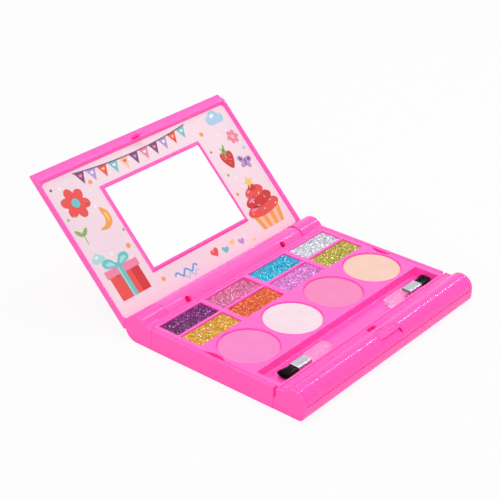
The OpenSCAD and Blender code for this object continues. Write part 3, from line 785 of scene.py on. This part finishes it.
def bristles(place, seed):
    """Several hundred tapered hairs that fan out from the ferrule to a bevelled tip."""
    draw = random.Random(seed)
    points, faces = [], []
    for _ in range(HAIRS):
        a = draw.uniform(0, 2 * math.pi)
        reach = 1.12 * math.sqrt(draw.random())
        # Place in the tuft, from -1 to 1 across its width and its thickness
        sy = max(-1, min(1, reach * math.cos(a)))
        sz = max(-1, min(1, reach * math.sin(a)))
        # The tuft's end is bevelled towards its sides, and ragged
        tip_x = 0.1 + 0.9 * abs(sy) ** 4 + 0.6 * abs(sz) ** 2 + draw.uniform(0, 0.9) ** 2
        thick = draw.uniform(*HAIR_R)
        rings = []
        for part, taper in HAIR_PARTS:
            x = (BRISTLE_L + HAIR_ROOT) * (1 - part) + tip_x * part
            fan = min(1, max(0, (BRISTLE_L - x) / (BRISTLE_L - TUFT_WIDE_AT))) ** 1.5
            y = sy * (TUFT[0] + TUFT_FAN[0] * fan)
            z = sz * (TUFT[1] + TUFT_FAN[1] * fan)
            r = thick * taper
            rings.append([place(x, y + r * math.cos(b), z + r * math.sin(b))
                          for b in HAIR_CORNERS])
        more, walls = skin(rings)
        first = len(points)
        points += more
        faces += [tuple(first + n for n in wall) for wall in walls]
    return points, faces


def brush(side, sign, seed):
    """Handle, ferrule and bristles of one brush; sign is the way from its tips to its handle."""
    low, high = box_mm(f"brush_{side}_handle")
    tips = box_mm(f"brush_{side}_bristles")
    x_tip = tips[0][0] if sign > 0 else tips[1][0]
    y_mid = (low[1] + high[1]) / 2
    z_mid = (low[2] + high[2]) / 2

    def place(x, y, z):
        return (x_tip + sign * x, y_mid + y, z_mid + z)

    body = f"brush_{side}"
    name = body + "_handle"
    points, faces = skin(along(handle_sections(), place))
    piece(name + "_clear", solid(name, points, faces, 40), body,
          acrylic.material, [name])
    name = body + "_ferrule"
    points, faces = skin(along(ferrule_sections(), place), hoop=True)
    piece(name + "_crimped", solid(name, points, faces, 50), body,
          ferrule_metal, [name])
    name = body + "_bristles"
    points, faces = skin(along(HAIR_CORE, place))
    piece(name + "_core", solid(name + "_core", points, faces), body,
          hair.material, [name])
    points, faces = bristles(place, seed)
    piece(name + "_hairs", solid(name + "_hairs", points, faces, 80), body,
          hair.material, [name])


brush("left", 1, 5)
brush("right", -1, 6)


# ---- Lid: card, print and mirror ----

paper = Material("card", rgb(250, 228, 238), 0.42, Specular_IOR_Level=0.4)
wash = paper.ramp(paper.noise(9, 3), [(0.35, rgb(242, 222, 233)), (0.65, rgb(255, 230, 238))])
fleck = paper.ramp(paper.noise(1400, 4), [(0.3, (0.97, 0.97, 0.97, 1)), (0.7, WHITE)])
paper.color(paper.multiply(wash, fleck))
paper.bump(paper.noise(1400, 4), 0.05, 0.03 * MM)
dress("lid_card", paper.material)

glass = Material("mirror", (0.99, 0.99, 1.0, 1), 0.02, Metallic=1.0)
glass.roughness(glass.spread(glass.noise(60, 3), 0.3, 0.7, 0.01, 0.04))
dress("mirror_plate", glass.material)
tape = Material("tape", (0.8, 0.8, 0.78, 1), 0.7)
tape.color(tape.ramp(tape.noise(800, 3), [(0.3, (0.7, 0.7, 0.68, 1)),
                                          (0.7, (0.85, 0.85, 0.83, 1))]))
dress("mirror_tape", tape.material)


# The print: thin layers of ink on the card. A place on it is (x, u) in millimetres, and u is
# the distance from the hinge's axis
INK_T = 0.03
INK_SUNK = 0.01
# Half width and ends of the printed field, and of the mirror with its frame
FIELD_X = 80
FIELD_U = (12, 100)
MIRROR_X = 50
MIRROR_U = (22, 92)
INKS = {name: printed_ink("ink_" + name, rgb(*color)) for name, color in {
    "coral": (238, 84, 80), "red": (214, 52, 58), "peach": (255, 200, 168),
    "orange": (248, 166, 86), "yellow": (252, 212, 116), "teal": (112, 202, 204),
    "mint": (176, 228, 226), "blue": (112, 172, 226), "sky": (176, 214, 242),
    "plum": (132, 72, 122), "lilac": (188, 156, 214), "green": (138, 186, 92),
    "rose": (248, 138, 172), "white": (255, 250, 252)}.items()}


def turned(dx, du, x, u, turn):
    """The place (dx, du) from (x, u), turned about it by degrees."""
    c, s = math.cos(math.radians(turn)), math.sin(math.radians(turn))
    return (x + dx * c - du * s, u + dx * s + du * c)


def disc(x, u, rx, ru=None, turn=0, steps=28):
    """The outline of a circle, or of an ellipse with the radii rx and ru."""
    made = []
    for i in range(steps):
        a = 2 * math.pi * i / steps
        made.append(turned(rx * math.cos(a), (ru or rx) * math.sin(a), x, u, turn))
    return made


def star(x, u, outer, inner, points=5, turn=0):
    """The outline of a star, with a point upwards when it isn't turned."""
    return [turned(0, outer if i % 2 == 0 else inner, x, u, turn + 180 * i / points)
            for i in range(2 * points)]


def heart(x, u, size, turn=0):
    """The outline of a heart of this width, by the usual curve, which is 32 wide."""
    made = []
    steps = 30
    for i in range(steps):
        a = 2 * math.pi * i / steps
        dx = 16 * math.sin(a) ** 3
        du = 13 * math.cos(a) - 5 * math.cos(2 * a) - 2 * math.cos(3 * a) - math.cos(4 * a)
        made.append(turned(dx * size / 32, du * size / 32, x, u, turn))
    return made


def blob(points, steps=6):
    """A closed smooth outline through the points."""
    made = []
    count = len(points)
    for i in range(count):
        p = [Vector(points[(i + k) % count]) for k in (-1, 0, 1, 2)]
        for j in range(steps):
            t = j / steps
            v = 0.5 * ((2 * p[1]) + (p[2] - p[0]) * t
                       + (2 * p[0] - 5 * p[1] + 4 * p[2] - p[3]) * t ** 2
                       + (3 * p[1] - p[0] - 3 * p[2] + p[3]) * t ** 3)
            made.append((v.x, v.y))
    return made


def stroke(path, width):
    """The outline of a line of even width along the path."""
    left, right = [], []
    for i, point in enumerate(path):
        before, after = path[max(0, i - 1)], path[min(len(path) - 1, i + 1)]
        run = Vector((after[0] - before[0], after[1] - before[1])).normalized() * width / 2
        left.append((point[0] - run.y, point[1] + run.x))
        right.append((point[0] + run.y, point[1] - run.x))
    return left + right[::-1]


def box_outline(x, u, w, h, turn=0):
    """The outline of a rectangle about (x, u)."""
    return [turned(sx * w / 2, su * h / 2, x, u, turn)
            for sx, su in ((-1, -1), (1, -1), (1, 1), (-1, 1))]


def motif(name, shapes):
    """One printed motif: shapes are (ink, layer, outline), laid over one another in layers."""
    points, faces, indices, inks = [], [], [], []
    for ink, layer, outline in shapes:
        if ink not in inks:
            inks.append(ink)
        first, count = len(points), len(outline)
        for depth in (layer * INK_T - INK_SUNK, (layer + 1) * INK_T):
            for x, u in outline:
                spot = Vector((x, HINGE_Y - u, CARD_Z - depth)) * MM
                points.append(tuple(OPENED @ spot / MM))
        for k in range(count):
            m = (k + 1) % count
            faces.append((first + k, first + m, first + count + m, first + count + k))
        faces.append(tuple(first + k for k in range(count))[::-1])
        faces.append(tuple(first + count + k for k in range(count)))
        indices += [inks.index(ink)] * (count + 2)
    mesh = solid("print_" + name, points, faces, 20, indices)
    piece("print_" + name, mesh, "lid", [INKS[ink] for ink in inks])


def flower(x, u, r, petals, centre, turn=0):
    """Six petals round a disc."""
    shapes = []
    for k in range(6):
        px, pu = turned(0, r * 0.62, x, u, turn + 60 * k)
        shapes.append((petals, k % 2, disc(px, pu, r * 0.34, r * 0.42, turn + 60 * k)))
    return shapes + [(centre, 2, disc(x, u, r * 0.3))]


def gift(x, u, w, h):
    """A present with a lid, a ribbon and a bow."""
    top = u + h / 2
    return [("coral", 0, box_outline(x, u, w, h)),
            ("red", 1, box_outline(x + w * 0.36, u, w * 0.28, h)),
            ("rose", 2, box_outline(x, top - 1, w + 3, 5)),
            ("teal", 3, box_outline(x - 1, u + 0.8, 4.2, h + 1.5)),
            ("mint", 4, box_outline(x - 2.2, u + 0.8, 1.0, h + 1.5)),
            ("teal", 3, blob([(x - 1, top + 1.5), (x - 5, top + 7.5), (x - 10.5, top + 7.5),
                              (x - 11, top + 3.5), (x - 6, top + 1.6)])),
            ("teal", 3, blob([(x - 1, top + 1.5), (x + 3, top + 7.5), (x + 8.5, top + 7.5),
                              (x + 9, top + 3.5), (x + 4, top + 1.6)])),
            ("mint", 4, blob([(x - 3, top + 2.4), (x - 5.6, top + 5.6), (x - 8.8, top + 5.6),
                              (x - 8.6, top + 3.8)])),
            ("mint", 4, blob([(x + 1, top + 2.4), (x + 3.6, top + 5.6), (x + 6.8, top + 5.6),
                              (x + 6.6, top + 3.8)])),
            ("teal", 5, disc(x - 1, top + 2.2, 1.9, 1.6))]


def cupcake(x, u, w):
    """Pleated case, three rolls of icing and a star."""
    shapes = []
    for k in range(7):
        a, b = -0.5 + k / 7, -0.5 + (k + 1) / 7
        shapes.append((("orange", "peach")[k % 2], 0,
                       [(x + a * w * 0.68, u), (x + b * w * 0.68, u),
                        (x + b * w * 0.92, u + w * 0.42), (x + a * w * 0.92, u + w * 0.42)]))
    rolls = ((0.40, 0.52, 0.17, "coral"), (0.60, 0.42, 0.16, "red"), (0.80, 0.29, 0.14, "coral"))
    for layer, (lift, half, high, ink) in enumerate(rolls, 1):
        shapes.append((ink, layer, disc(x, u + lift * w + 0.06 * w, half * w, high * w, 4)))
        shapes.append(("rose", layer + 1, disc(x - half * w * 0.45, u + (lift + 0.11) * w,
                                               half * w * 0.3, high * w * 0.22, 12)))
    shapes.append(("red", 4, blob([(x - 0.12 * w, u + 0.94 * w), (x, u + 1.08 * w),
                                   (x + 0.12 * w, u + 0.94 * w), (x, u + 0.88 * w)])))
    shapes.append(("yellow", 5, star(x + 0.02 * w, u + 1.1 * w, 0.15 * w, 0.065 * w, 5, 8)))
    for k in range(9):
        px, pu = x + w * (-0.38 + 0.095 * k), u + w * (0.42 + 0.12 * ((k * 7) % 4))
        ink = ("yellow", "mint", "white")[k % 3]
        shapes.append((ink, 4, box_outline(px, pu, 1.7, 0.6, 47 * k)))
    return shapes


def strawberry(x, u, r):
    """A berry with a gleam, leaves, a stalk and seeds."""
    body = ((0, -1.15), (0.8, -0.1), (0.75, 0.7), (0, 0.8), (-0.75, 0.7), (-0.8, -0.1))
    gleam = ((-0.5, -0.1), (-0.3, 0.5), (-0.6, 0.5))
    stalk = ((0, 0.8), (0.1, 1.2), (0.4, 1.5))
    shapes = [("red", 0, blob([(x + r * dx, u + r * du) for dx, du in body])),
              ("coral", 1, blob([(x + r * dx, u + r * du) for dx, du in gleam])),
              ("green", 2, star(x, u + r * 0.85, r * 0.62, r * 0.24, 5, 180)),
              ("green", 2, stroke([(x + r * dx, u + r * du) for dx, du in stalk], r * 0.16))]
    for k, (dx, du) in enumerate(((0, 0.2), (0.4, 0.3), (-0.35, 0.0), (0.3, -0.25), (-0.05, -0.5),
                                  (0.1, -0.1), (-0.2, 0.4))):
        shapes.append(("yellow", 2, disc(x + dx * r, u + du * r, 0.3, 0.42, 10 * k, 8)))
    return shapes


def cloud(x, u, r, ink="sky"):
    """Three puffs on a flat base, with a white gleam."""
    return [(ink, 0, disc(x - r, u, r * 0.75)),
            (ink, 1, disc(x, u + r * 0.35, r)),
            (ink, 0, disc(x + r * 1.05, u, r * 0.7)),
            (ink, 2, box_outline(x, u - r * 0.4, r * 2.3, r * 0.7)),
            ("white", 3, disc(x - r * 0.25, u + r * 0.55, r * 0.5, r * 0.26, 20))]


def butterfly(x, u, r, turn):
    """A body and two pairs of spotted wings."""
    wings = (("lilac", 0, 0.62, 0.42, 0.62, 0.46, 30), ("plum", 1, 0.7, 0.46, 0.28, 0.2, 30),
             ("lilac", 0, 0.48, -0.42, 0.42, 0.34, -35), ("rose", 1, 0.5, -0.44, 0.2, 0.15, -35))
    shapes = []
    for side in (-1, 1):
        for ink, layer, dx, du, rx, ru, lean in wings:
            px, pu = turned(side * dx * r, du * r, x, u, turn)
            shapes.append((ink, layer, disc(px, pu, rx * r, ru * r, turn + side * lean)))
    return shapes + [("plum", 2, disc(x, u, 0.12 * r, 0.6 * r, turn))]


def bunting(x0, x1, u, flags):
    """A sagging string of little flags, each with a heart."""
    sag = 3.2
    drop = 8.2
    inks = (("plum", "rose"), ("lilac", "white"), ("coral", "yellow"), ("teal", "white"),
            ("peach", "coral"), ("plum", "lilac"), ("rose", "white"))

    def string(t):
        return (x0 + (x1 - x0) * t, u - sag * (1 - (2 * t - 1) ** 2))

    shapes = [("plum", 6, stroke([string(i / 24) for i in range(25)], 0.7))]
    for k in range(flags):
        a, b = string((k + 0.08) / flags), string((k + 0.92) / flags)
        mid = string((k + 0.5) / flags)
        ink, mark = inks[k % len(inks)]
        shapes.append((ink, 2, [a, b, (mid[0], mid[1] - drop)]))
        shapes.append((mark, 3, heart(mid[0], mid[1] - 2.6, 2.6)))
    return shapes


def wave(x, u, w, high, ink, width):
    """A wavy line."""
    waves, steps = 2.5, 30
    path = [(x + w * (i / steps - 0.5), u + high * math.sin(2 * math.pi * waves * i / steps))
            for i in range(steps + 1)]
    return [(ink, 0, stroke(path, width))]


motif("flower", flower(-67.5, 84, 10, "coral", "teal", 12))
motif("flower_small", flower(74.5, 80, 5, "rose", "yellow", 30))
motif("moon", [("orange", 0, blob([(-54, 76), (-50, 71), (-51, 64.5), (-56.5, 61.5), (-62, 63),
                                   (-57, 64.5), (-54.5, 68.5), (-55, 73)]))]
      + [("yellow", 1, blob([(-52.6, 72.5), (-51.3, 69), (-52.6, 65.6), (-53.4, 69)]))])
motif("leaves", [("green", 0, disc(-73, 66, 3.2, 1.3, 40)),
                 ("green", 1, disc(-77.6, 66.4, 3.2, 1.3, 130)),
                 ("green", 2, stroke([(-75.5, 58), (-75.2, 62), (-75.3, 67)], 0.5))])
motif("gift", gift(-64, 28, 24, 19))
motif("bunting", bunting(-58, 42, 101, 11))
motif("cloud", cloud(69, 96, 4.6))
motif("cloud_small", cloud(-75.5, 47.5, 2.8, "mint"))
motif("strawberry", strawberry(60, 68, 6.4))
motif("cupcake", cupcake(64, 15, 30))
motif("butterfly", butterfly(72, 61, 5, -18))
motif("wave", wave(-22, 16.5, 20, 1.6, "blue", 1.3) + wave(-20, 13.2, 14, 1.3, "sky", 1.0))
motif("hearts", [("coral", 0, heart(6, 18, 7, 10)), ("rose", 1, heart(5, 19.2, 2.4, 10)),
                 ("teal", 0, heart(15, 16.2, 5.6, -14)), ("yellow", 0, heart(23, 18.4, 4.6, 8)),
                 ("lilac", 0, heart(30.5, 16, 5.2, -8))])
motif("dots", [(ink, 0, disc(x, u, r)) for ink, x, u, r in (
    ("orange", -49.5, 92, 1.5), ("orange", -50.5, 47, 1.7), ("orange", 51, 90, 1.6),
    ("orange", -41, 19, 1.5), ("orange", 50, 44, 1.3), ("green", -79, 76.5, 0.9),
    ("green", 52, 58, 1.0), ("green", -47, 57, 0.9), ("coral", 50, 76.5, 0.9),
    ("teal", 78, 70, 0.9), ("plum", -78.5, 97, 0.9), ("yellow", 41, 13, 1.2))])


def sparks(count, seed):
    """Little white stars, scattered over the card but not over the mirror."""
    draw = random.Random(seed)
    made = []
    while len(made) < count:
        x, u = draw.uniform(-FIELD_X, FIELD_X), draw.uniform(*FIELD_U)
        if abs(x) > MIRROR_X or u > MIRROR_U[1] or u < MIRROR_U[0]:
            size = draw.uniform(0.8, 2.4)
            made.append(("white", 0, star(x, u, size, size * 0.28, 4, draw.uniform(-12, 12))))
    return made


motif("sparks", sparks(46, 31))


# ---- Studio ----

FLOOR_SIZE = 12
# How far the floor is lifted to white where it is seen; the rest keeps the shadow
FLOOR_LIFT = 0.9
# Light from the white surroundings
SKY_LIGHT = 0.5
# The photograph's camera, in metres, with its focal length for a sensor 36 mm wide
CAMERA_PLACE = (-0.58033, -0.42603, 0.43621)
CAMERA_LOOK = (0.6846, 0.5518, -0.4762)
CAMERA_ROLL = 1.06
CAMERA_LENS = 100.34


def direct_rays(tree):
    """1 for what the camera sees, also in mirrors and through clear plastic."""
    path = tree.nodes.new("ShaderNodeLightPath")
    value = path.outputs["Is Camera Ray"]
    for ray in ("Is Glossy Ray", "Is Transmission Ray"):
        add = tree.nodes.new("ShaderNodeMath")
        add.operation = "MAXIMUM"
        tree.links.new(value, add.inputs[0])
        tree.links.new(path.outputs[ray], add.inputs[1])
        value = add.outputs["Value"]
    return value


def mix_shaders(tree, share, first, second):
    """The first shader, with a share of the second mixed in."""
    mix = tree.nodes.new("ShaderNodeMixShader")
    tree.links.new(share, mix.inputs["Fac"])
    tree.links.new(first, mix.inputs[1])
    tree.links.new(second, mix.inputs[2])
    return mix.outputs["Shader"]


def pale_floor():
    """The floor, lifted towards white where it is seen."""
    bpy.ops.mesh.primitive_plane_add(size=FLOOR_SIZE)
    made = bpy.context.object
    made.name = "floor"
    pale = Material("floor", (0.86, 0.86, 0.86, 1), 0.9, Specular_IOR_Level=0.1)
    tree = pale.material.node_tree
    white = tree.nodes.new("ShaderNodeEmission")
    white.inputs["Strength"].default_value = 1.0
    lift = tree.nodes.new("ShaderNodeMath")
    lift.operation = "MULTIPLY"
    lift.inputs[1].default_value = FLOOR_LIFT
    tree.links.new(direct_rays(tree), lift.inputs[0])
    surface = mix_shaders(tree, lift.outputs["Value"], pale.shader.outputs["BSDF"],
                          white.outputs["Emission"])
    tree.links.new(surface, tree.nodes["Material Output"].inputs["Surface"])
    made.data.materials.append(pale.material)


def surroundings():
    """A soft white sky, and plain white where it is seen."""
    world = bpy.data.worlds.new("world")
    bpy.context.scene.world = world
    world.use_nodes = True
    tree = world.node_tree
    sky = tree.nodes["Background"]
    sky.inputs["Color"].default_value = WHITE
    sky.inputs["Strength"].default_value = SKY_LIGHT
    plain = tree.nodes.new("ShaderNodeBackground")
    plain.inputs["Color"].default_value = WHITE
    plain.inputs["Strength"].default_value = 1.0
    surface = mix_shaders(tree, direct_rays(tree), sky.outputs["Background"],
                          plain.outputs["Background"])
    tree.links.new(surface, tree.nodes["World Output"].inputs["Surface"])


def lamp(name, place, target, size, power):
    """A soft rectangular lamp; places and sizes are in metres, the power in watts."""
    data = bpy.data.lights.new(name, "AREA")
    data.shape = "RECTANGLE"
    data.size, data.size_y = size
    data.energy = power
    made = bpy.data.objects.new(name, data)
    bpy.context.collection.objects.link(made)
    made.location = place
    made.rotation_euler = (Vector(target) - Vector(place)).to_track_quat("-Z", "Y").to_euler()


def camera():
    """The photograph's camera."""
    data = bpy.data.cameras.new("camera")
    data.sensor_width = 36
    data.lens = CAMERA_LENS
    made = bpy.data.objects.new("camera", data)
    bpy.context.collection.objects.link(made)
    aim = Vector(CAMERA_LOOK).to_track_quat("-Z", "Y").to_matrix()
    turn = aim @ Matrix.Rotation(math.radians(CAMERA_ROLL), 3, "Z")
    made.matrix_world = Matrix.Translation(CAMERA_PLACE) @ turn.to_4x4()
    bpy.context.scene.camera = made


pale_floor()
surroundings()
lamp("top", (0.0, 0.15, 1.3), (0, 0, 0), (1.3, 1.3), 7.8)
lamp("front_left", (-1.1, -0.7, 0.6), (0, 0, 0.02), (0.9, 0.7), 3.1)
lamp("strip", (0.685, -0.02, 0.745), (0, 0, 0.02), (0.014, 0.6), 1.2)
camera()
bpy.context.scene.view_settings.view_transform = "Standard"
